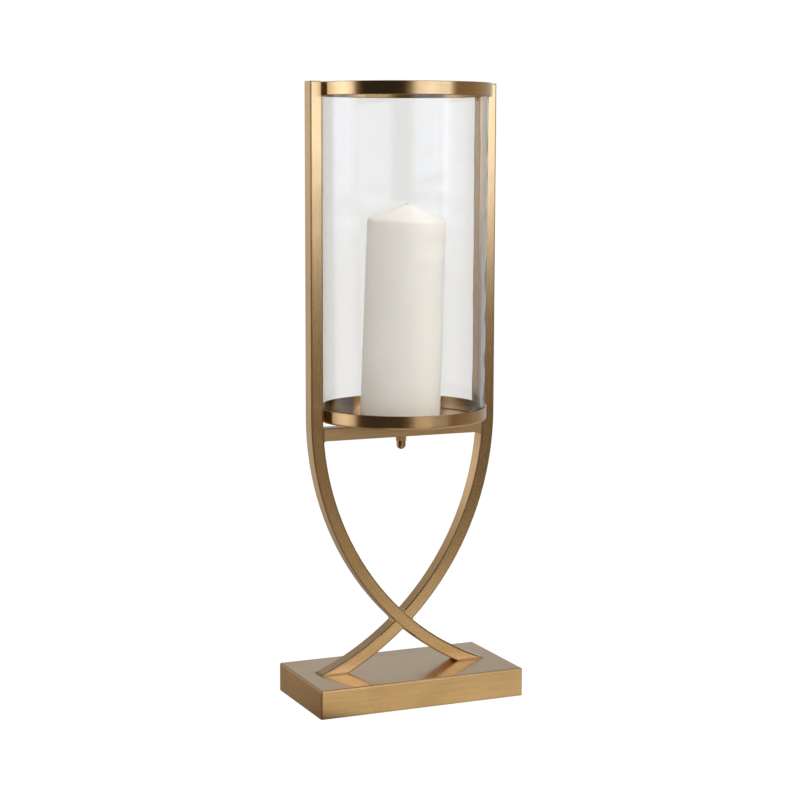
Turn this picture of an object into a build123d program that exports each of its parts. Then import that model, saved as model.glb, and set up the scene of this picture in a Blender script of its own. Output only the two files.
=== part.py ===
"""Hurricane candle lantern: brass-finished bar frame on a weighted base, with tray, glass and pillar candle.

Millimetres, +Z up. The origin is the middle of the base's underside, on the surface the lantern stands on.
X runs from upright to upright, and the front faces -Y.
"""

import os
from math import asin, cos, radians, sin, sqrt

from build123d import *

# ---- driving dimensions ----------------------------------------------------------------------------------

TOTAL_HEIGHT = 610.0

# Arms: rectangular bar, an upright that turns into one long arc below ARC_START
BAR_WIDTH = 12.7  # across, in the plane of the arms
BAR_DEPTH = 16.0  # front to back
BAR_EDGE = 1.2  # rounding of the bar's long edges
ARC_START = 285.6
ARC_RADIUS = 281.0  # of the bar's centre line
CROSSING_WELD = 3.2  # radius of the weld ground out above and below the crossing
CORNER_WELD = 2.0  # radius of the other ground welds
FOOT_ALLOWANCE = 4.0  # extra bar below the base's top, cut off after the edges are rounded
TOE_X = 90.0  # the feet's thin toes are ground back to here

# Hoop at the top; the uprights' inner faces are flush with its bore
RING_BORE = 86.0
RING_WALL = 2.0
RING_BOTTOM = 596.6
RING_HEIGHT = 12.7
BAND_EDGE = 0.5  # rounding of the thin bands' edges

# Tray and what holds it
CROSSBAR_BOTTOM = 263.1
CROSSBAR_HEIGHT = 12.7
SPACER_HEIGHT = 4.9
SPACER_RADIUS = 13.0
TRAY_RADIUS = 84.6
TRAY_HEIGHT = 13.4
TRAY_WALL = 1.2
TRAY_BEND = 2.5  # outer radius between floor and rim
M6_RADIUS = 2.95
M6_HOLE = 3.0
TRAY_SCREW_HEAD_RADIUS = 7.5
TRAY_SCREW_HEAD = 1.2
NUT_FLATS = 10.0
NUT_HEX_HEIGHT = 4.6
NUT_HEIGHT = 13.3
NUT_DOME_RADIUS = 4.6
NUT_BORE_DEPTH = 10.8
NUT_ENGAGEMENT = 10.0

# Glass: a straight-walled tube that widens very slightly towards its top
GLASS_FOOT_RADIUS = 83.0
GLASS_TOP_RADIUS = 84.6
GLASS_WALL = 3.5
GLASS_TOP = 602.0
GLASS_LIP = 1.2  # fire-polished rims

# Candle: pillar on the tray screw's head, so it leans a little
CANDLE_FOOT_RADIUS = 39.7
CANDLE_TOP_RADIUS = 38.6
CANDLE_SIDE = 194.5
CANDLE_CONE = 15.5
CANDLE_SHOULDER = 5.0
CANDLE_TIP_RADIUS = 12.0
CANDLE_FOOT_EDGE = 3.0
CANDLE_LEAN = 1.76  # degrees
LEAN_DIRECTION = -23.8  # degrees from +X, seen from above
CANDLE_OFFSET = (-1.0, 0.5)
WICK_RADIUS = 1.3
WICK_STUB = 1.0
REST_GAP = 0.3  # between pieces that lift off and what they rest on

# Base, from the outside in
BASE_LENGTH = 217.4
BASE_WIDTH = 115.8
BASE_TOP = 28.9
BASE_EDGE = 2.0
SHELL_WALL = 1.5
SHELL_LIFT = 0.6  # the shell's rim stays off the table
FELT_THICKNESS = 2.0
FELT_INSET = 4.0
PLATE_THICKNESS = 1.5
PLATE_GAP = 0.7
WEIGHT_INSET = 5.0
WEIGHT_CORNER = 6.0

# Fasteners in the base
LEG_SCREW_X = 66.5
M5_RADIUS = 2.45
M5_HOLE = 2.5
LEG_SCREW_LENGTH = 20.0
LEG_SCREW_HEAD_RADIUS = 4.25
LEG_SCREW_HEAD = 5.0
LEG_SCREW_SOCKET = 2.3
LEG_WASHER_RADIUS = 5.0
LEG_WASHER_THICKNESS = 1.0
LEG_SCREW_TIP = 36.4
LEG_HOLE_TOP = 36.9
COUNTERBORE_RADIUS = 6.0
M4_RADIUS = 1.95
M4_HOLE = 2.0
PLATE_SCREW_LENGTH = 10.0
PLATE_SCREW_HEAD_RADIUS = 3.8
PLATE_SCREW_X = 92.0
PLATE_SCREW_Y = 42.0
DRIVE_RADIUS = 1.6
DRIVE_DEPTH = 1.0

# ---- worked out from them --------------------------------------------------------------------------------

RING_TOP = RING_BOTTOM + RING_HEIGHT
RING_OUTER = RING_BORE + RING_WALL
UPRIGHT_X = RING_BORE + BAR_WIDTH / 2  # centre line of an upright
ARC_CENTRE_X = ARC_RADIUS - UPRIGHT_X  # of the left arm's arc
CROSSBAR_TOP = CROSSBAR_BOTTOM + CROSSBAR_HEIGHT
TRAY_BOTTOM = CROSSBAR_TOP + SPACER_HEIGHT
TRAY_FLOOR = TRAY_BOTTOM + TRAY_WALL
TRAY_TOP = TRAY_BOTTOM + TRAY_HEIGHT
GLASS_BOTTOM = TRAY_FLOOR + REST_GAP
PLATE_BOTTOM = FELT_THICKNESS
WEIGHT_BOTTOM = PLATE_BOTTOM + PLATE_THICKNESS
WEIGHT_TOP = BASE_TOP - SHELL_WALL


def turned(profile_wire):
    """The solid that a closed outline in the XZ plane sweeps about the Z axis."""
    return revolve(make_face(profile_wire), Axis.Z)


def cylinder(radius, bottom, top, x=0.0, y=0.0):
    return Pos(x, y, (bottom + top) / 2) * Cylinder(radius, top - bottom)


def block(x_low, x_high, y_low, y_high, z_low, z_high):
    middle = Pos((x_low + x_high) / 2, (y_low + y_high) / 2, (z_low + z_high) / 2)
    return middle * Box(x_high - x_low, y_high - y_low, z_high - z_low)


# ---- frame -----------------------------------------------------------------------------------------------


def arm_outline(side):
    """Flat outline, in X and Z, of the arm whose upright stands on this side: -1 left, +1 right."""
    inner = ARC_RADIUS - BAR_WIDTH / 2
    outer = ARC_RADIUS + BAR_WIDTH / 2

    def on_arc(radius, angle):
        x = ARC_CENTRE_X - radius * cos(angle)
        return (-side * x, ARC_START - radius * sin(angle))

    def foot_angle(radius):
        return asin((ARC_START - BASE_TOP + FOOT_ALLOWANCE) / radius)

    def arc(radius):
        end = foot_angle(radius)
        return ThreePointArc(on_arc(radius, 0.0), on_arc(radius, end / 2), on_arc(radius, end))

    outer_top = (side * (UPRIGHT_X + BAR_WIDTH / 2), TOTAL_HEIGHT)
    inner_top = (side * (UPRIGHT_X - BAR_WIDTH / 2), TOTAL_HEIGHT)
    return make_face(
        [
            Line(outer_top, on_arc(outer, 0.0)),
            arc(outer),
            Line(on_arc(outer, foot_angle(outer)), on_arc(inner, foot_angle(inner))),
            arc(inner),
            Line(on_arc(inner, 0.0), inner_top),
            Line(inner_top, outer_top),
        ]
    )


def crossbar_outline():
    middle = (CROSSBAR_BOTTOM + CROSSBAR_TOP) / 2
    return Pos(0, middle) * Rectangle(2 * UPRIGHT_X, CROSSBAR_HEIGHT)


def stood_up(outline, depth=BAR_DEPTH):
    """Extrudes an outline drawn in X and Z by half the depth to the front and half to the back."""
    return extrude(Plane.XZ * outline, depth / 2, both=True)


def frame_weldment():
    """Both arms and the crossbar as one welded, ground and edge-rounded shape, before it is told apart."""
    outline = arm_outline(-1) + arm_outline(1) + crossbar_outline()
    corners = outline.vertices()
    crossing = [v for v in corners if abs(v.X) < 1.0]
    bar_ends = [v for v in corners if abs(abs(v.X) - RING_BORE) < 2.0 and v.Y < TRAY_BOTTOM]
    crossing_sides = [v for v in corners if 1.0 < abs(v.X) < 20.0]
    outline = fillet(crossing, CROSSING_WELD)
    outline = fillet(nearest(outline, bar_ends), CORNER_WELD)
    outline = fillet(nearest(outline, crossing_sides), CORNER_WELD)
    frame = stood_up(outline)
    along = [e for e in frame.edges() if is_long_edge(e)]
    return stood_on_base(fillet(along, BAR_EDGE))


def stood_on_base(frame):
    """Cuts the feet flat on the base's top, and their thin toes upright."""
    frame = frame - block(-BASE_LENGTH, BASE_LENGTH, -BAR_DEPTH, BAR_DEPTH, 0, BASE_TOP)
    for low, high in ((-BASE_LENGTH, -TOE_X), (TOE_X, BASE_LENGTH)):
        frame = frame - block(low, high, -BAR_DEPTH, BAR_DEPTH, 0, BASE_TOP + BAR_EDGE)
    return frame


def nearest(outline, points):
    """The outline's own vertices at the given points, which a fillet elsewhere has renumbered."""
    return [min(outline.vertices(), key=lambda v, p=p: (v.X - p.X) ** 2 + (v.Y - p.Y) ** 2) for p in points]


def is_long_edge(edge):
    """Edges of the front and back faces, apart from the lower ends of the bars."""
    box = edge.bounding_box()
    on_a_face = box.size.Y < 0.01
    at_the_foot = box.max.Z < BASE_TOP
    return on_a_face and not at_the_foot


def make_frame():
    """The weldment's separate bars: the left arm is whole, and the right one is cut at the crossing."""
    whole = frame_weldment() - cylinder(RING_OUTER, RING_BOTTOM, TOTAL_HEIGHT + 1)
    left_space = stood_up(arm_outline(-1), BAR_DEPTH + 4)
    right_space = stood_up(arm_outline(1), BAR_DEPTH + 4)
    left = whole & left_space
    rest = whole - left_space
    right = rest & right_space
    welds_and_bar = (rest - right_space).solids().sort_by(SortBy.VOLUME)
    crossbar = welds_and_bar[-1]
    right_pieces = right.solids().sort_by(Axis.Z)
    lower, upper = right_pieces[0], right_pieces[-1]
    for weld in welds_and_bar[:-1]:
        left = left + weld
    for side in (-1, 1):
        hole = cylinder(M5_HOLE, BASE_TOP - 1, LEG_HOLE_TOP, side * LEG_SCREW_X)
        left, lower = left - hole, lower - hole
    crossbar = crossbar - cylinder(M6_HOLE, CROSSBAR_BOTTOM - 1, CROSSBAR_TOP + 1)
    return {"left_arm": left, "right_arm_upper": upper, "right_arm_lower": lower, "crossbar": crossbar}


def make_top_ring():
    ring = cylinder(RING_OUTER, RING_BOTTOM, RING_TOP) - cylinder(RING_BORE, RING_BOTTOM - 1, RING_TOP + 1)
    return {"top_ring": fillet(ring.edges().filter_by(GeomType.CIRCLE), BAND_EDGE)}


# ---- tray and its fixing -----------------------------------------------------------------------------------


def make_tray():
    outside = cylinder(TRAY_RADIUS, TRAY_BOTTOM, TRAY_TOP)
    outside = fillet(outside.edges().sort_by(Axis.Z)[0], TRAY_BEND)
    inside = cylinder(TRAY_RADIUS - TRAY_WALL, TRAY_FLOOR, TRAY_TOP + 1)
    inside = fillet(inside.edges().sort_by(Axis.Z)[0], TRAY_BEND - TRAY_WALL)
    tray = outside - inside
    tray = fillet(tray.faces().sort_by(Axis.Z)[-1].edges(), BAND_EDGE)
    return {"tray": tray - cylinder(M6_HOLE, TRAY_BOTTOM - 1, TRAY_FLOOR + 1)}


def make_tray_spacer():
    spacer = cylinder(SPACER_RADIUS, CROSSBAR_TOP, TRAY_BOTTOM)
    return {"tray_spacer": spacer - cylinder(M6_HOLE, CROSSBAR_TOP - 1, TRAY_BOTTOM + 1)}


def make_tray_screw():
    head_top = TRAY_FLOOR + TRAY_SCREW_HEAD
    head = cylinder(TRAY_SCREW_HEAD_RADIUS, TRAY_FLOOR, head_top)
    head = fillet(head.edges().sort_by(Axis.Z)[-1], TRAY_SCREW_HEAD / 2)
    shank = cylinder(M6_RADIUS, CROSSBAR_BOTTOM - NUT_ENGAGEMENT, TRAY_FLOOR)
    slot = Pos(0, 0, head_top) * Box(2 * TRAY_SCREW_HEAD_RADIUS + 1, 1.2, TRAY_SCREW_HEAD)
    return {"tray_screw": head + shank - slot}


def make_cap_nut():
    """Domed nut, hexagon at the top, with a blind thread."""
    hexagon = Pos(0, 0, CROSSBAR_BOTTOM - NUT_HEX_HEIGHT) * extrude(
        RegularPolygon(NUT_FLATS / 2, 6, major_radius=False), NUT_HEX_HEIGHT
    )
    bottom = CROSSBAR_BOTTOM - NUT_HEIGHT
    dome = cylinder(NUT_DOME_RADIUS, bottom, CROSSBAR_BOTTOM)
    dome = fillet(dome.edges().sort_by(Axis.Z)[0], NUT_DOME_RADIUS - 0.2)
    thread = cylinder(M6_HOLE, CROSSBAR_BOTTOM - NUT_BORE_DEPTH, CROSSBAR_BOTTOM + 1)
    return {"cap_nut": hexagon + dome - thread}


# ---- glass and candle --------------------------------------------------------------------------------------


def make_glass():
    foot_in, top_in = GLASS_FOOT_RADIUS - GLASS_WALL, GLASS_TOP_RADIUS - GLASS_WALL
    outline = Polyline(
        (foot_in, 0, GLASS_BOTTOM),
        (GLASS_FOOT_RADIUS, 0, GLASS_BOTTOM),
        (GLASS_TOP_RADIUS, 0, GLASS_TOP),
        (top_in, 0, GLASS_TOP),
        close=True,
    )
    tube = turned(outline)
    return {"glass_cylinder": fillet(tube.edges().filter_by(GeomType.CIRCLE), GLASS_LIP)}


def candle_profile():
    """Half outline, from the middle of the foot up the side and over the shoulder to the rounded tip."""
    slope = CANDLE_CONE / CANDLE_TOP_RADIUS
    top = CANDLE_SIDE + CANDLE_CONE
    corners = [(0, 0), (CANDLE_FOOT_RADIUS, 0), (CANDLE_TOP_RADIUS, CANDLE_SIDE), (0, top)]
    half = make_face(Polyline(*corners, close=True))
    rim = [v for v in half.vertices() if v.X > 1.0]
    half = fillet([v for v in rim if v.Y < 1.0], CANDLE_FOOT_EDGE)
    shoulder = [v for v in half.vertices() if v.X > 1.0 and v.Y > CANDLE_SIDE - 1.0]
    half = fillet(shoulder, CANDLE_SHOULDER)
    # The cone's point is worn to a ball that meets its flanks smoothly
    flank = sqrt(1 + slope**2)
    ball_z = top - CANDLE_TIP_RADIUS * flank
    touch = (CANDLE_TIP_RADIUS * slope / flank, ball_z + CANDLE_TIP_RADIUS / flank)
    cap = make_face(Polyline((0, touch[1]), touch, (touch[0], top + 1), (0, top + 1), close=True))
    ball = Pos(0, ball_z) * Circle(CANDLE_TIP_RADIUS)
    return half - (cap - ball), ball_z + CANDLE_TIP_RADIUS


def make_candle():
    profile, tip = candle_profile()
    wax = revolve(Plane.XZ * profile, Axis.Z)
    wax = wax - cylinder(WICK_RADIUS, -1, tip + 1)
    wick = cylinder(WICK_RADIUS, 0, tip + WICK_STUB)
    wick = fillet(wick.edges().sort_by(Axis.Z)[-1], WICK_RADIUS * 0.6)
    rise = CANDLE_FOOT_RADIUS * sin(radians(CANDLE_LEAN))
    place = Pos(*CANDLE_OFFSET, TRAY_FLOOR + REST_GAP + rise)
    lean = Rot(0, 0, LEAN_DIRECTION) * Rot(0, CANDLE_LEAN, 0)
    return {"candle": place * lean * wax, "wick": place * lean * wick}


# ---- base ----------------------------------------------------------------------------------------------------


def make_base_shell():
    outside = block(
        -BASE_LENGTH / 2, BASE_LENGTH / 2, -BASE_WIDTH / 2, BASE_WIDTH / 2, SHELL_LIFT, BASE_TOP
    )
    rounded = outside.edges().filter_by(Axis.Z) + outside.faces().sort_by(Axis.Z)[-1].edges()
    outside = fillet(rounded, BASE_EDGE)
    half_x = BASE_LENGTH / 2 - SHELL_WALL
    half_y = BASE_WIDTH / 2 - SHELL_WALL
    shell = outside - block(-half_x, half_x, -half_y, half_y, SHELL_LIFT - 1, WEIGHT_TOP)
    for side in (-1, 1):
        shell -= cylinder(M5_HOLE, WEIGHT_TOP - 1, BASE_TOP + 1, side * LEG_SCREW_X)
    return {"base_shell": shell}


def screw_places():
    return [(sx * PLATE_SCREW_X, sy * PLATE_SCREW_Y) for sx in (-1, 1) for sy in (-1, 1)]


def countersink(radius, hole, bottom, x, y):
    """A 90 degree countersink that opens downwards, with its hole."""
    return Pos(x, y, bottom + (radius - hole) / 2) * Cone(radius, hole, radius - hole)


def leg_washer_bottom():
    return LEG_SCREW_TIP - LEG_SCREW_LENGTH


def make_base_weight():
    half_x = BASE_LENGTH / 2 - WEIGHT_INSET
    half_y = BASE_WIDTH / 2 - WEIGHT_INSET
    weight = block(-half_x, half_x, -half_y, half_y, WEIGHT_BOTTOM, WEIGHT_TOP)
    weight = chamfer(weight.edges().filter_by(Axis.Z), WEIGHT_CORNER)
    seat = leg_washer_bottom() + LEG_WASHER_THICKNESS
    for side in (-1, 1):
        weight -= cylinder(COUNTERBORE_RADIUS, WEIGHT_BOTTOM - 1, seat, side * LEG_SCREW_X)
        weight -= cylinder(M5_HOLE, seat - 1, WEIGHT_TOP + 1, side * LEG_SCREW_X)
    for x, y in screw_places():
        weight -= cylinder(M4_HOLE, WEIGHT_BOTTOM - 1, PLATE_BOTTOM + PLATE_SCREW_LENGTH + 1, x, y)
        weight -= countersink(PLATE_SCREW_HEAD_RADIUS + 0.1, M4_HOLE, PLATE_BOTTOM, x, y)
    return {"base_weight": weight}


def make_leg_fasteners():
    under_head = leg_washer_bottom()
    screws, washers = [], []
    for side in (-1, 1):
        x = side * LEG_SCREW_X
        head = cylinder(LEG_SCREW_HEAD_RADIUS, under_head - LEG_SCREW_HEAD, under_head, x)
        socket = Pos(x, 0, under_head - LEG_SCREW_HEAD) * extrude(
            RegularPolygon(LEG_SCREW_SOCKET, 6), LEG_SCREW_HEAD / 2
        )
        screws.append(head + cylinder(M5_RADIUS, under_head, LEG_SCREW_TIP, x) - socket)
        washer = cylinder(LEG_WASHER_RADIUS, under_head, under_head + LEG_WASHER_THICKNESS, x)
        washers.append(washer - cylinder(M5_HOLE, under_head - 1, under_head + 2, x))
    return {"leg_screws": screws, "leg_washers": washers}


def make_bottom_plate():
    half_x = BASE_LENGTH / 2 - SHELL_WALL - PLATE_GAP
    half_y = BASE_WIDTH / 2 - SHELL_WALL - PLATE_GAP
    plate = block(-half_x, half_x, -half_y, half_y, PLATE_BOTTOM, WEIGHT_BOTTOM)
    for x, y in screw_places():
        plate -= countersink(PLATE_SCREW_HEAD_RADIUS + 0.1, M4_HOLE, PLATE_BOTTOM, x, y)
        plate -= cylinder(M4_HOLE, PLATE_BOTTOM - 1, WEIGHT_BOTTOM + 1, x, y)
    return {"bottom_plate": plate}


def make_plate_screws():
    screws = []
    for x, y in screw_places():
        head = countersink(PLATE_SCREW_HEAD_RADIUS, M4_RADIUS, PLATE_BOTTOM, x, y)
        shank = cylinder(M4_RADIUS, PLATE_BOTTOM, PLATE_BOTTOM + PLATE_SCREW_LENGTH, x, y)
        drive = cylinder(DRIVE_RADIUS, PLATE_BOTTOM - 1, PLATE_BOTTOM + DRIVE_DEPTH, x, y)
        screws.append(head + shank - drive)
    return {"plate_screws": screws}


def make_felt_pad():
    half_x = BASE_LENGTH / 2 - FELT_INSET
    half_y = BASE_WIDTH / 2 - FELT_INSET
    return {"felt_pad": block(-half_x, half_x, -half_y, half_y, 0, FELT_THICKNESS)}


def all_pieces():
    pieces = {}
    for make in (
        make_frame,
        make_top_ring,
        make_tray,
        make_tray_spacer,
        make_tray_screw,
        make_cap_nut,
        make_glass,
        make_candle,
        make_base_shell,
        make_base_weight,
        make_leg_fasteners,
        make_bottom_plate,
        make_plate_screws,
        make_felt_pad,
    ):
        pieces.update(make())
    return pieces


def write_pieces():
    os.makedirs("parts", exist_ok=True)
    for name, piece in all_pieces().items():
        solids = piece if isinstance(piece, list) else piece.solids()
        loose = [s for part in solids for s in part.solids()]
        shape = loose[0] if len(loose) == 1 else Compound(children=loose)
        export_step(shape, f"parts/{name}.step")


write_pieces()
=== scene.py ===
"""Hurricane candle lantern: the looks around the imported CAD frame. Metres, +Z up."""

import math

import bpy
from mathutils import Matrix, Vector


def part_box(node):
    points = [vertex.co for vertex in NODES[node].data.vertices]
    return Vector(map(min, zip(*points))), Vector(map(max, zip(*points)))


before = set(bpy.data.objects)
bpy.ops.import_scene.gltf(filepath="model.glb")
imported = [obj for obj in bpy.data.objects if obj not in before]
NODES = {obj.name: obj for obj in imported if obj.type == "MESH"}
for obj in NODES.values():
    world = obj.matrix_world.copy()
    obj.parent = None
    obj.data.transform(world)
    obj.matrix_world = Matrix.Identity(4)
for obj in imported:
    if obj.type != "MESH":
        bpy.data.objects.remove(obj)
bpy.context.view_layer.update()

# The bars' centre line, as the CAD has it: an upright above ARC_Z, and below it an arc round (+-ARC_X, ARC_Z)
BAR_HALF = 0.00635
DEPTH_HALF = 0.008
ARC_Z = 0.2856
BASE_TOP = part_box("base_shell")[1].z
ARC_RADIUS = 0.281
ARC_X = ARC_RADIUS + BAR_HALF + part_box("left_arm")[0].x


# ---- node helpers --------------------------------------------------------------------------------


class Graph:
    """Short calls for building one material's nodes."""

    def __init__(self, name):
        self.material = bpy.data.materials.new(name)
        self.material.use_nodes = True
        self.tree = self.material.node_tree
        self.shader = next(n for n in self.tree.nodes if n.type == "BSDF_PRINCIPLED")
        self.place = self.node("ShaderNodeTexCoord").outputs["Object"]

    def node(self, kind, **settings):
        made = self.tree.nodes.new(kind)
        for key, value in settings.items():
            setattr(made, key, value)
        return made

    def put(self, socket, value):
        """Links an output to a socket, or sets the socket's own value."""
        if isinstance(value, bpy.types.NodeSocket):
            self.tree.links.new(value, socket)
        else:
            socket.default_value = value

    def math(self, operation, *values):
        made = self.node("ShaderNodeMath", operation=operation)
        for socket, value in zip(made.inputs, values):
            self.put(socket, value)
        return made.outputs[0]

    def vector(self, operation, *values):
        made = self.node("ShaderNodeVectorMath", operation=operation)
        for socket, value in zip(made.inputs, values):
            self.put(socket, value)
        return made.outputs["Vector"]

    def split(self, vector):
        made = self.node("ShaderNodeSeparateXYZ")
        self.put(made.inputs[0], vector)
        return made.outputs

    def join(self, x, y, z):
        made = self.node("ShaderNodeCombineXYZ")
        for socket, value in zip(made.inputs, (x, y, z)):
            self.put(socket, value)
        return made.outputs[0]

    def noise(self, vector, scale, detail=3.0, roughness=0.5, distortion=0.0):
        made = self.node("ShaderNodeTexNoise")
        for name, value in (
            ("Vector", vector),
            ("Scale", scale),
            ("Detail", detail),
            ("Roughness", roughness),
            ("Distortion", distortion),
        ):
            self.put(made.inputs[name], value)
        return made.outputs["Fac"]

    def spread(self, value, low, high, to_low=0.0, to_high=1.0, smooth=False):
        """Map Range, clamped."""
        made = self.node("ShaderNodeMapRange")
        if smooth:
            made.interpolation_type = "SMOOTHSTEP"
        for socket, v in zip(made.inputs, (value, low, high, to_low, to_high)):
            self.put(socket, v)
        return made.outputs[0]

    def mix(self, factor, a, b):
        """A mix of two colours, each an output or a tuple."""
        made = self.node("ShaderNodeMix", data_type="RGBA")
        self.put(made.inputs["Factor"], factor)
        for name, value in (("A", a), ("B", b)):
            socket = next(s for s in made.inputs if s.name == name and s.type == "RGBA")
            if not isinstance(value, bpy.types.NodeSocket) and len(value) == 3:
                value = (*value, 1.0)
            self.put(socket, value)
        return next(s for s in made.outputs if s.type == "RGBA")

    def bump(self, height, strength, distance, normal=None):
        made = self.node("ShaderNodeBump")
        self.put(made.inputs["Strength"], strength)
        self.put(made.inputs["Distance"], distance)
        self.put(made.inputs["Height"], height)
        if normal is not None:
            self.put(made.inputs["Normal"], normal)
        return made.outputs[0]

    def finish(self, **sockets):
        """Sets or links the shader's sockets, named with _ for a space."""
        for name, value in sockets.items():
            socket = self.shader.inputs[name.replace("_", " ")]
            if isinstance(value, tuple) and len(value) == 3 and socket.type == "RGBA":
                value = (*value, 1.0)
            self.put(socket, value)
        return self.material


# How far in from a bar's, a band's and a foot's edge the darkening starts, and where it is full. The darkening
# is painted: a painted dark reflection on the edges, and painted shade where an arm's foot meets the base
EDGE_STARTS, EDGE_FULL = 0.0027, 0.0005
RIM_STARTS, RIM_FULL = 0.0009, 0.0001
# Where the painted shade at an arm's foot on the base starts, and where it is full
FOOT_SHADE_STARTS, FOOT_SHADE_FULL = 0.0024, 0.0006


def near_edges(g, *distances):
    """1 where two of the given distances to a solid's outer faces are small at once, else 0."""
    close = [g.spread(d, EDGE_STARTS, EDGE_FULL, smooth=True) for d in distances]
    total = close[0]
    for c in close[1:]:
        total = g.math("ADD", total, c)
    return g.spread(total, 1.15, 1.95, smooth=True)


# ---- brass ---------------------------------------------------------------------------------------

BRASS = (0.82, 0.540, 0.232)
BRASS_LIGHT = (0.86, 0.590, 0.285)
BRASS_AGED = (0.42, 0.205, 0.062)
# BRASS_DARK is the colour of the painted dark reflections on the edges, of the painted shade at the arms' feet
# and under the tray, and of the tray's darkening
BRASS_DARK = (0.26, 0.120, 0.038)


def brass(name, make_lines, smooth=0.22, rough=0.27, anisotropy=0.85, coat=0.10, piece_darkening=0.0, edge=0.62):
    """Brushed, lacquered antique brass.

    make_lines(g) gives the brushing's own coordinates, the third one along the brushing, then the brushing's
    direction, and then a mask of the rounded edges, which are darkened by edge: a painted dark reflection, and
    on the arms also a painted shade where the foot meets the base. smooth and rough are the ends of the metal's
    roughness. toned is how far the whole piece is darkened: painted shade on the crossbar, tray spacer and cap
    nut under the tray, and a plain darkening of the tray itself.
    """
    g = Graph(name)
    lines, along, edges = make_lines(g)
    fine = g.noise(g.vector("MULTIPLY", lines, (1.0, 1.0, 0.012)), 2400.0, detail=2.0, roughness=0.5)
    broad = g.noise(g.vector("MULTIPLY", lines, (1.0, 1.0, 0.05)), 420.0, detail=2.0)
    cloudy = g.noise(g.place, 15.0, detail=3.0, roughness=0.55)
    spots = g.noise(g.place, 120.0, detail=3.0, roughness=0.6)
    tone = g.mix(g.spread(broad, 0.35, 0.65), BRASS, BRASS_LIGHT)
    tone = g.mix(g.spread(cloudy, 0.46, 0.74, 0.0, 0.28), tone, BRASS_AGED)
    tone = g.mix(g.spread(spots, 0.66, 0.78, 0.0, 0.15), tone, BRASS_AGED)
    tone = g.mix(g.spread(fine, 0.34, 0.50, 0.07, 0.0), tone, BRASS_AGED)
    # The whole piece darkened: painted shade on the pieces under the tray, a plain darkening on the tray
    tone = g.mix(piece_darkening, tone, BRASS_DARK)
    # Painted dark reflections on the rounded edges, and on the arms painted shade at the foot
    tone = g.mix(g.math("MULTIPLY", edges, edge), tone, BRASS_DARK)
    rough = g.spread(fine, 0.3, 0.7, smooth, rough)
    rough = g.math("ADD", rough, g.spread(cloudy, 0.4, 0.7, 0.0, 0.03))
    rough = g.math("ADD", rough, g.math("MULTIPLY", edges, 0.06))
    normal = g.bump(fine, 0.05, 0.00008)
    normal = g.bump(broad, 0.04, 0.0002, normal)
    return g.finish(
        Base_Color=tone,
        Metallic=1.0,
        Roughness=rough,
        Normal=normal,
        Tangent=along,
        Anisotropic=anisotropy,
        Anisotropic_Rotation=0.25,
        Coat_Weight=1.0,
        Coat_Roughness=coat,
        Coat_IOR=1.5,
    )


def along_bar(side):
    """Brushing that follows an arm up its arc and upright: side is -1 for the left upright's arm."""

    def lines(g):
        x, y, z = g.split(g.place)
        dx = g.math("ADD", x, side * ARC_X)
        dz = g.math("SUBTRACT", z, ARC_Z)
        down = g.math("MINIMUM", dz, 0.0)
        up = g.math("MAXIMUM", dz, 0.0)
        out = g.math("SQRT", g.math("ADD", g.math("POWER", dx, 2.0), g.math("POWER", down, 2.0)))
        turn = g.math("ARCTAN2", down, g.math("ABSOLUTE", dx))
        length = g.math("ADD", g.math("MULTIPLY", turn, ARC_RADIUS), up)
        across = g.math("SUBTRACT", out, ARC_RADIUS)
        along = g.vector("NORMALIZE", g.join(g.math("MULTIPLY", down, -1.0), 0.0, dx))
        # The edge mask darkens the bar's rounded edges: a painted dark reflection
        edges = near_edges(
            g,
            g.math("SUBTRACT", BAR_HALF, g.math("ABSOLUTE", across)),
            g.math("SUBTRACT", DEPTH_HALF, g.math("ABSOLUTE", y)),
        )
        # Darkening just above the base top, where the arm's foot meets it: painted shade
        foot_shade = g.spread(z, BASE_TOP + FOOT_SHADE_STARTS, BASE_TOP + FOOT_SHADE_FULL, smooth=True)
        return g.join(across, y, length), along, g.math("MAXIMUM", edges, foot_shade)

    return lines


def along_x(node):
    """Brushing along X on a box-shaped piece, and along Y on its ends."""
    low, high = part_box(node)
    middle = (low + high) / 2
    half = (high - low) / 2

    def lines(g):
        x, y, z = g.split(g.vector("SUBTRACT", g.place, tuple(middle)))
        normal = g.split(g.node("ShaderNodeNewGeometry").outputs["Normal"])
        on_end = g.math("GREATER_THAN", g.math("ABSOLUTE", normal[0]), 0.75)
        on_side = g.math("SUBTRACT", 1.0, on_end)
        long_way = g.math("ADD", g.math("MULTIPLY", x, on_side), g.math("MULTIPLY", y, on_end))
        cross_way = g.math("ADD", g.math("MULTIPLY", y, on_side), g.math("MULTIPLY", x, on_end))
        distances = [
            g.math("SUBTRACT", half.x, g.math("ABSOLUTE", x)),
            g.math("SUBTRACT", half.y, g.math("ABSOLUTE", y)),
            g.math("SUBTRACT", half.z, g.math("ABSOLUTE", z)),
        ]
        # The edge mask darkens the box's rounded edges: a painted dark reflection
        return g.join(cross_way, z, long_way), g.join(on_side, on_end, 0.0), near_edges(g, *distances)

    return lines


def round_z(node):
    """Brushing round the Z axis on a turned band."""
    low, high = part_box(node)

    def lines(g):
        x, y, z = g.split(g.place)
        out = g.math("SQRT", g.math("ADD", g.math("POWER", x, 2.0), g.math("POWER", y, 2.0)))
        turn = g.math("MULTIPLY", g.math("ARCTAN2", y, x), high.x)
        along = g.vector("NORMALIZE", g.join(g.math("MULTIPLY", y, -1.0), x, 0.0))
        # The band's top and bottom edges are darkened: a painted dark reflection
        rim = g.spread(g.math("SUBTRACT", high.z, z), RIM_STARTS, RIM_FULL, smooth=True)
        foot = g.spread(g.math("SUBTRACT", z, low.z), RIM_STARTS, RIM_FULL, smooth=True)
        return g.join(out, z, turn), along, g.math("MAXIMUM", rim, foot)

    return lines


# ---- other materials -----------------------------------------------------------------------------


GLASS_RADIUS = 0.083


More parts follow.
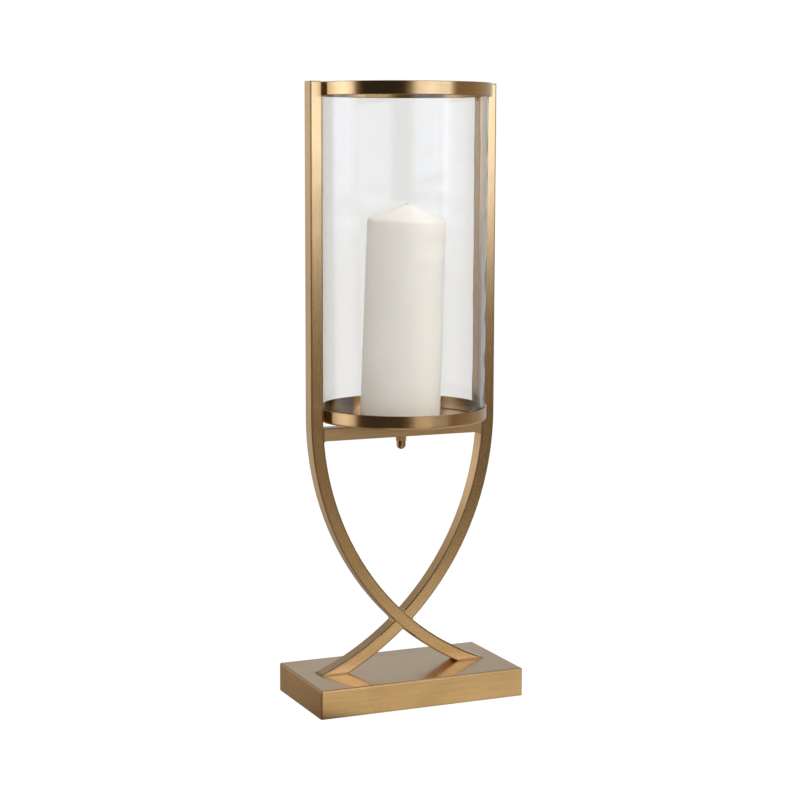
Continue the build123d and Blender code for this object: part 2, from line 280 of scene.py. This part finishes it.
def clear_glass():
    """Clear glass with faint ripples across its height and cords along it."""
    g = Graph("clear_glass")
    x, y, z = g.split(g.place)
    drawn = g.join(g.math("MULTIPLY", g.math("ARCTAN2", y, x), GLASS_RADIUS), z, 0.0)
    ripple = g.noise(g.vector("MULTIPLY", drawn, (1.0, 1.5, 1.0)), 34.0, detail=0.0)
    cords = g.noise(g.vector("MULTIPLY", drawn, (3.0, 0.5, 1.0)), 30.0, detail=0.0)
    tint = g.mix(g.spread(ripple, 0.4, 0.7, 0.0, 0.35), (0.940, 0.937, 0.928), (0.940, 0.941, 0.936))
    normal = g.bump(ripple, 0.17, 0.0015)
    normal = g.bump(cords, 0.06, 0.0005, normal)
    return g.finish(
        Base_Color=tint,
        Roughness=0.0,
        IOR=1.50,
        Transmission_Weight=1.0,
        Normal=normal,
    )


def ivory_wax():
    g = Graph("ivory_wax")
    cloudy = g.noise(g.place, 22.0, detail=1.0, roughness=0.5)
    pores = g.noise(g.place, 900.0, detail=2.0)
    tone = g.mix(g.spread(cloudy, 0.35, 0.65), (0.86, 0.832, 0.775), (0.88, 0.858, 0.812))
    tone = g.mix(g.spread(pores, 0.3, 0.7, 0.0, 0.06), tone, (0.78, 0.73, 0.64))
    rough = g.spread(cloudy, 0.3, 0.7, 0.32, 0.42)
    normal = g.bump(pores, 0.03, 0.0001)
    normal = g.bump(cloudy, 0.10, 0.0010, normal)
    return g.finish(
        Base_Color=tone,
        Roughness=rough,
        Normal=normal,
        IOR=1.45,
        Subsurface_Weight=0.45,
        Subsurface_Radius=(1.0, 0.75, 0.5),
        Subsurface_Scale=0.006,
        Sheen_Weight=0.15,
        Sheen_Roughness=0.4,
    )


def cotton_wick():
    g = Graph("cotton_wick")
    x, y, z = g.split(g.place)
    twist = g.math("SINE", g.math("MULTIPLY", g.math("ADD", g.math("ADD", x, y), z), 4200.0))
    fuzz = g.noise(g.place, 3000.0, detail=3.0)
    tone = g.mix(g.spread(twist, -1.0, 1.0, 0.1, 0.9), (0.42, 0.38, 0.32), (0.70, 0.66, 0.57))
    tone = g.mix(g.spread(fuzz, 0.4, 0.7, 0.0, 0.4), tone, (0.16, 0.13, 0.10))
    return g.finish(Base_Color=tone, Roughness=0.85, Normal=g.bump(twist, 0.4, 0.0002), Sheen_Weight=0.2)


def black_felt():
    g = Graph("black_felt")
    fibres = g.noise(g.place, 2600.0, detail=5.0, roughness=0.7, distortion=1.5)
    pile = g.noise(g.place, 240.0, detail=3.0)
    tone = g.mix(g.spread(fibres, 0.35, 0.7), (0.012, 0.012, 0.013), (0.045, 0.044, 0.046))
    tone = g.mix(g.spread(pile, 0.4, 0.65, 0.0, 0.4), tone, (0.02, 0.02, 0.022))
    return g.finish(
        Base_Color=tone,
        Roughness=0.95,
        Normal=g.bump(fibres, 0.5, 0.0003),
        Sheen_Weight=0.35,
        Sheen_Roughness=0.5,
    )


def zinc_steel():
    g = Graph("zinc_steel")
    flow = g.noise(g.place, 300.0, detail=4.0, roughness=0.6)
    lines = g.noise(g.vector("MULTIPLY", g.place, (1.0, 1.0, 12.0)), 900.0, detail=3.0)
    tone = g.mix(g.spread(flow, 0.35, 0.68), (0.56, 0.57, 0.57), (0.70, 0.70, 0.68))
    rough = g.spread(lines, 0.3, 0.7, 0.28, 0.42)
    return g.finish(Base_Color=tone, Metallic=1.0, Roughness=rough, Normal=g.bump(lines, 0.12, 0.0001))


def cast_iron():
    g = Graph("cast_iron")
    sand = g.noise(g.place, 900.0, detail=5.0, roughness=0.7)
    stain = g.noise(g.place, 40.0, detail=4.0)
    tone = g.mix(g.spread(sand, 0.35, 0.7), (0.018, 0.018, 0.019), (0.05, 0.049, 0.047))
    tone = g.mix(g.spread(stain, 0.5, 0.72, 0.0, 0.5), tone, (0.075, 0.045, 0.028))
    rough = g.spread(sand, 0.3, 0.7, 0.55, 0.8)
    return g.finish(Base_Color=tone, Metallic=0.35, Roughness=rough, Normal=g.bump(sand, 0.6, 0.0004))


def wear(node, material):
    """Gives a CAD node this material."""
    NODES[node].data.materials.clear()
    NODES[node].data.materials.append(material)


LEFT = brass("brass_left_arm", along_bar(-1))
RIGHT = brass("brass_right_arm", along_bar(1))
wear("left_arm", LEFT)
wear("right_arm_upper", RIGHT)
wear("right_arm_lower", RIGHT)
# The crossbar is darkened whole: painted shade from the tray above it
wear("crossbar", brass("brass_crossbar", along_x("crossbar"), 0.20, 0.26, 0.75, piece_darkening=0.30))
wear("top_ring", brass("brass_top_ring", round_z("top_ring"), 0.17, 0.23, 0.90))
# The tray is darkened whole
wear("tray", brass("brass_tray", round_z("tray"), 0.18, 0.25, piece_darkening=0.12))
# The tray spacer and cap nut are darkened whole: painted shade under the tray
wear("tray_spacer", brass("brass_tray_spacer", round_z("tray_spacer"), piece_darkening=0.50))
wear("cap_nut", brass("brass_cap_nut", round_z("cap_nut"), piece_darkening=0.55))
wear("base_shell", brass("brass_base", along_x("base_shell"), 0.17, 0.22, 0.5, 0.05, edge=0.30))
wear("glass_cylinder", clear_glass())
wear("candle", ivory_wax())
wear("wick", cotton_wick())
wear("felt_pad", black_felt())
wear("base_weight", cast_iron())
STEEL = zinc_steel()
for node in ("tray_screw", "leg_screws", "leg_washers", "bottom_plate", "plate_screws"):
    wear(node, STEEL)


# ---- camera --------------------------------------------------------------------------------------

FRAME_PIXELS = 800
FOCAL_PIXELS = 1965.21
YAW, PITCH, ROLL = math.radians(-23.83), math.radians(7.48), math.radians(0.15)
EYE = Vector((-0.78178, -1.76704, 0.55256))


def make_camera():
    """The main view: level, then turned by YAW, tipped down by PITCH and rolled by ROLL."""
    data = bpy.data.cameras.new("camera")
    data.sensor_width = 36.0
    data.lens = FOCAL_PIXELS * data.sensor_width / FRAME_PIXELS
    data.clip_start, data.clip_end = 0.05, 60.0
    camera = bpy.data.objects.new("camera", data)
    bpy.context.scene.collection.objects.link(camera)
    ahead = Vector((-math.sin(YAW) * math.cos(PITCH), math.cos(YAW) * math.cos(PITCH), -math.sin(PITCH)))
    level = Vector((math.cos(YAW), math.sin(YAW), 0.0))
    above = level.cross(ahead)
    right = level * math.cos(ROLL) + above * math.sin(ROLL)
    up = above * math.cos(ROLL) - level * math.sin(ROLL)
    camera.matrix_world = Matrix((right, up, -ahead)).transposed().to_4x4()
    camera.location = EYE
    bpy.context.scene.camera = camera


make_camera()


# ---- studio --------------------------------------------------------------------------------------

# What glossy surfaces see round the lantern, by degrees clockwise from the main view's side as seen from above:
# soft boxes and dark gaps in the room at eye level, higher up and overhead, and the table near and far
ROOM = [
    (-180, 0.60), (-165, 0.60), (-150, 0.58), (-128, 0.56), (-107, 0.90), (-96, 1.40),
    (-76, 1.72), (-66, 1.25), (-59, 0.20), (-50, 0.00), (-10, 0.00), (4, 0.02),
    (11, 0.42), (19, 1.50), (34, 1.66), (62, 1.66), (68, 0.60), (74, 0.21),
    (100, 0.22), (134, 0.36), (150, 0.44), (165, 0.60), (180, 0.60),
]
ROOM_HIGH = [
    (-180, 0.38), (-140, 0.30), (-100, 0.50), (-85, 0.85), (-66, 0.60), (-59, 0.06),
    (-50, 0.00), (-5, 0.00), (11, 0.10), (19, 0.60), (25, 1.10), (38, 1.10),
    (47, 0.42), (60, 0.42), (72, 0.22), (100, 0.20), (134, 0.26), (180, 0.38),
]
OVERHEAD = [
    (-180, 0.30), (-60, 0.03), (-20, 0.02), (0, 0.06), (30, 0.90), (80, 0.90),
    (110, 0.40), (180, 0.30),
]
TABLE_NEAR = [
    (-180, 0.24), (-110, 0.28), (-60, 0.20), (-35, 0.12), (-18, 0.50), (0, 0.56),
    (30, 0.56), (48, 0.58), (80, 0.64), (130, 0.45), (180, 0.24),
]
TABLE_FAR = [
    (-180, 0.50), (-130, 0.46), (-100, 0.60), (-90, 0.85), (-76, 0.90), (-66, 0.60),
    (-58, 0.03), (0, 0.01), (15, 0.04), (24, 0.30), (38, 0.30), (45, 0.05),
    (60, 0.05), (80, 0.20), (180, 0.50),
]
# The dim parts of the room are warm and the soft boxes cool: green and blue for a red of 1, by level
TINTS = [
    (0.0, 0.66, 0.46), (0.12, 0.70, 0.50), (0.5, 0.89, 0.71),
    (0.8, 0.98, 0.90), (1.2, 1.07, 1.28), (2.0, 1.09, 1.32),
]
# The tint fades out between these two angles from the camera's side
NEUTRAL_FROM, NEUTRAL_BY = 110, 170
# The level that a ramp's 1 stands for
BRIGHTEST = 4.0
# Soft light on matt surfaces: its level at each side, its share from above, and where no glass dims it
FILL_LEFT, FILL_RIGHT, FILL_ABOVE = 1.95, 3.20, 0.45
FILL_OUTSIDE_GLASS = 0.36
# The floor's own glow, seen through glass and outside it, and the glow's share of the floor's look
FLOOR_GLOW = 0.97
FLOOR_GLOW_OUTSIDE_GLASS = 1.08
FLOOR_GLOW_SHARE = 0.92
FLOOR_SIDE = 40.0
# Sine of the elevation where the room gives way to its upper part, and that to the ceiling
HIGH_FROM, HIGH_BY = 0.12, 0.30
OVERHEAD_FROM, OVERHEAD_BY = 0.45, 0.80
# log10 of the distance in metres where the near table gives way to the far one, and that to the room
FAR_FROM, FAR_BY = -0.70, 0.10
ROOM_FROM, ROOM_BY = 0.65, 1.50


def tinted(degrees, level):
    """The light's colour at this level. Behind the lantern it's neutral."""
    for (low, *dim), (high, *bright) in zip(TINTS, TINTS[1:]):
        if low <= level <= high:
            share = (level - low) / (high - low)
            green, blue = (d + (b - d) * share for d, b in zip(dim, bright))
    neutral = min(max((abs(degrees) - NEUTRAL_FROM) / (NEUTRAL_BY - NEUTRAL_FROM), 0.0), 1.0)
    green += (1.0 - green) * neutral
    blue += (1.0 - blue) * neutral
    return level, level * green, level * blue


class StudioNodes:
    """Nodes that read a colour round the lantern from one of the tables above, for the world or the floor."""

    def __init__(self, tree, direction):
        self.tree = tree
        turned = tree.nodes.new("ShaderNodeVectorRotate")
        turned.rotation_type = "Z_AXIS"
        turned.inputs["Angle"].default_value = math.pi / 2 - YAW
        tree.links.new(direction, turned.inputs["Vector"])
        apart = tree.nodes.new("ShaderNodeSeparateXYZ")
        tree.links.new(turned.outputs[0], apart.inputs[0])
        self.towards, self.right, self.up = apart.outputs
        self.angle = self.math("ARCTAN2", self.right, self.towards)

    def put(self, socket, value):
        if isinstance(value, bpy.types.NodeSocket):
            self.tree.links.new(value, socket)
        else:
            socket.default_value = value

    def math(self, operation, *values):
        made = self.tree.nodes.new("ShaderNodeMath")
        made.operation = operation
        for socket, value in zip(made.inputs, values):
            self.put(socket, value)
        return made.outputs[0]

    def spread(self, value, low, high, to_low=0.0, to_high=1.0, smooth=True):
        made = self.tree.nodes.new("ShaderNodeMapRange")
        made.interpolation_type = "SMOOTHSTEP" if smooth else "LINEAR"
        for socket, v in zip(made.inputs, (value, low, high, to_low, to_high)):
            self.put(socket, v)
        return made.outputs[0]

    def level(self, table):
        """The table's colour for the angle, as a share of BRIGHTEST."""
        ramp = self.tree.nodes.new("ShaderNodeValToRGB")
        self.put(ramp.inputs[0], self.spread(self.angle, -math.pi, math.pi, smooth=False))
        stops = ramp.color_ramp.elements
        while len(stops) < len(table):
            stops.new(0.5)
        for stop, (degrees, level) in zip(stops, table):
            stop.position = (degrees + 180) / 360
            stop.color = (*(c / BRIGHTEST for c in tinted(degrees, level)), 1.0)
        return ramp.outputs[0]

    def mix(self, factor, a, b):
        made = self.tree.nodes.new("ShaderNodeMix")
        made.data_type = "RGBA"
        self.put(made.inputs["Factor"], factor)
        for name, value in (("A", a), ("B", b)):
            self.put(next(s for s in made.inputs if s.name == name and s.type == "RGBA"), value)
        return next(s for s in made.outputs if s.type == "RGBA")

    def grey(self, value):
        made = self.tree.nodes.new("ShaderNodeCombineColor")
        for socket in made.inputs:
            self.put(socket, self.math("DIVIDE", value, BRIGHTEST))
        return made.outputs[0]


def studio_world():
    """White to the camera and through the glass, a room of soft boxes in reflections, and soft light on matt
    surfaces, which is weaker for rays that pass no glass."""
    world = bpy.data.worlds.new("studio")
    world.use_nodes = True
    world.cycles.sampling_method = "NONE"
    bpy.context.scene.world = world
    tree = world.node_tree
    background = next(n for n in tree.nodes if n.type == "BACKGROUND")
    n = StudioNodes(tree, tree.nodes.new("ShaderNodeTexCoord").outputs["Generated"])
    path = tree.nodes.new("ShaderNodeLightPath")
    room = n.mix(n.spread(n.up, HIGH_FROM, HIGH_BY), n.level(ROOM), n.level(ROOM_HIGH))
    room = n.mix(n.spread(n.up, OVERHEAD_FROM, OVERHEAD_BY), room, n.level(OVERHEAD))
    glazed = n.math("MINIMUM", path.outputs["Transmission Depth"], 1.0)
    fill = n.spread(n.right, -1.0, 1.0, FILL_LEFT, FILL_RIGHT, smooth=False)
    fill = n.math("MULTIPLY", fill, n.spread(glazed, 0.0, 1.0, FILL_OUTSIDE_GLASS, 1.0, smooth=False))
    fill = n.grey(n.math("MULTIPLY", fill, n.spread(n.up, 0.25, 0.90, 1.0, FILL_ABOVE)))
    seen = n.mix(n.math("MINIMUM", path.outputs["Glossy Depth"], 1.0), n.grey(1.0), room)
    seen = n.mix(n.math("MINIMUM", path.outputs["Diffuse Depth"], 1.0), seen, fill)
    tree.links.new(seen, background.inputs["Color"])
    background.inputs["Strength"].default_value = BRIGHTEST


def add_light(name, where, target, size, power):
    """A soft area light that only matt surfaces see."""
    data = bpy.data.lights.new(name, "AREA")
    data.shape = "RECTANGLE"
    data.size, data.size_y = size
    data.energy = power
    light = bpy.data.objects.new(name, data)
    bpy.context.scene.collection.objects.link(light)
    light.location = where
    light.rotation_mode = "QUATERNION"
    light.rotation_quaternion = (Vector(target) - Vector(where)).to_track_quat("-Z", "Y")
    light.visible_camera = False
    light.visible_glossy = False


def make_floor():
    """White paper to the camera. Reflections see the tables' light and dark in it, fading into the room's."""
    corners = [(x * FLOOR_SIDE, y * FLOOR_SIDE, 0) for x, y in ((-1, -1), (1, -1), (1, 1), (-1, 1))]
    mesh = bpy.data.meshes.new("floor")
    mesh.from_pydata(corners, [], [(0, 1, 2, 3)])
    floor = bpy.data.objects.new("floor", mesh)
    bpy.context.scene.collection.objects.link(floor)
    g = Graph("floor_paper")
    grain = g.noise(g.place, 400.0, detail=3.0)
    tone = g.mix(g.spread(grain, 0.3, 0.7), (0.86, 0.86, 0.86), (0.89, 0.89, 0.89))
    n = StudioNodes(g.tree, g.place)
    away = n.math("SQRT", n.math("ADD", n.math("POWER", n.towards, 2.0), n.math("POWER", n.right, 2.0)))
    far = n.math("LOGARITHM", away, 10.0)
    level = n.mix(n.spread(far, FAR_FROM, FAR_BY), n.level(TABLE_NEAR), n.level(TABLE_FAR))
    level = n.mix(n.spread(far, ROOM_FROM, ROOM_BY), level, n.level(ROOM))
    path = g.node("ShaderNodeLightPath")
    mirrored = n.math("MINIMUM", path.outputs["Glossy Depth"], 1.0)
    matt = g.node("ShaderNodeBsdfDiffuse")
    g.put(matt.inputs["Color"], tone)
    glow = g.node("ShaderNodeEmission")
    glazed = n.math("MINIMUM", path.outputs["Transmission Depth"], 1.0)
    strength = n.spread(glazed, 0.0, 1.0, FLOOR_GLOW_OUTSIDE_GLASS, FLOOR_GLOW, smooth=False)
    g.put(glow.inputs["Strength"], strength)
    part = g.node("ShaderNodeMixShader")
    g.put(part.inputs[0], FLOOR_GLOW_SHARE)
    g.put(part.inputs[1], matt.outputs[0])
    g.put(part.inputs[2], glow.outputs[0])
    reflected = g.node("ShaderNodeEmission")
    g.put(reflected.inputs["Color"], level)
    g.put(reflected.inputs["Strength"], BRIGHTEST)
    whole = g.node("ShaderNodeMixShader")
    g.put(whole.inputs[0], mirrored)
    g.put(whole.inputs[1], part.outputs[0])
    g.put(whole.inputs[2], reflected.outputs[0])
    output = next(x for x in g.tree.nodes if x.type == "OUTPUT_MATERIAL")
    g.put(output.inputs["Surface"], whole.outputs[0])
    g.tree.nodes.remove(g.shader)
    mesh.materials.append(g.material)


studio_world()
make_floor()
add_light("key", (1.6, -1.6, 1.8), (0, 0, 0.3), (1.4, 1.8), 22.0)
add_light("top", (0.0, 0.2, 2.4), (0, 0, 0.2), (2.2, 2.2), 7.0)
bpy.context.scene.view_settings.view_transform = "Standard"
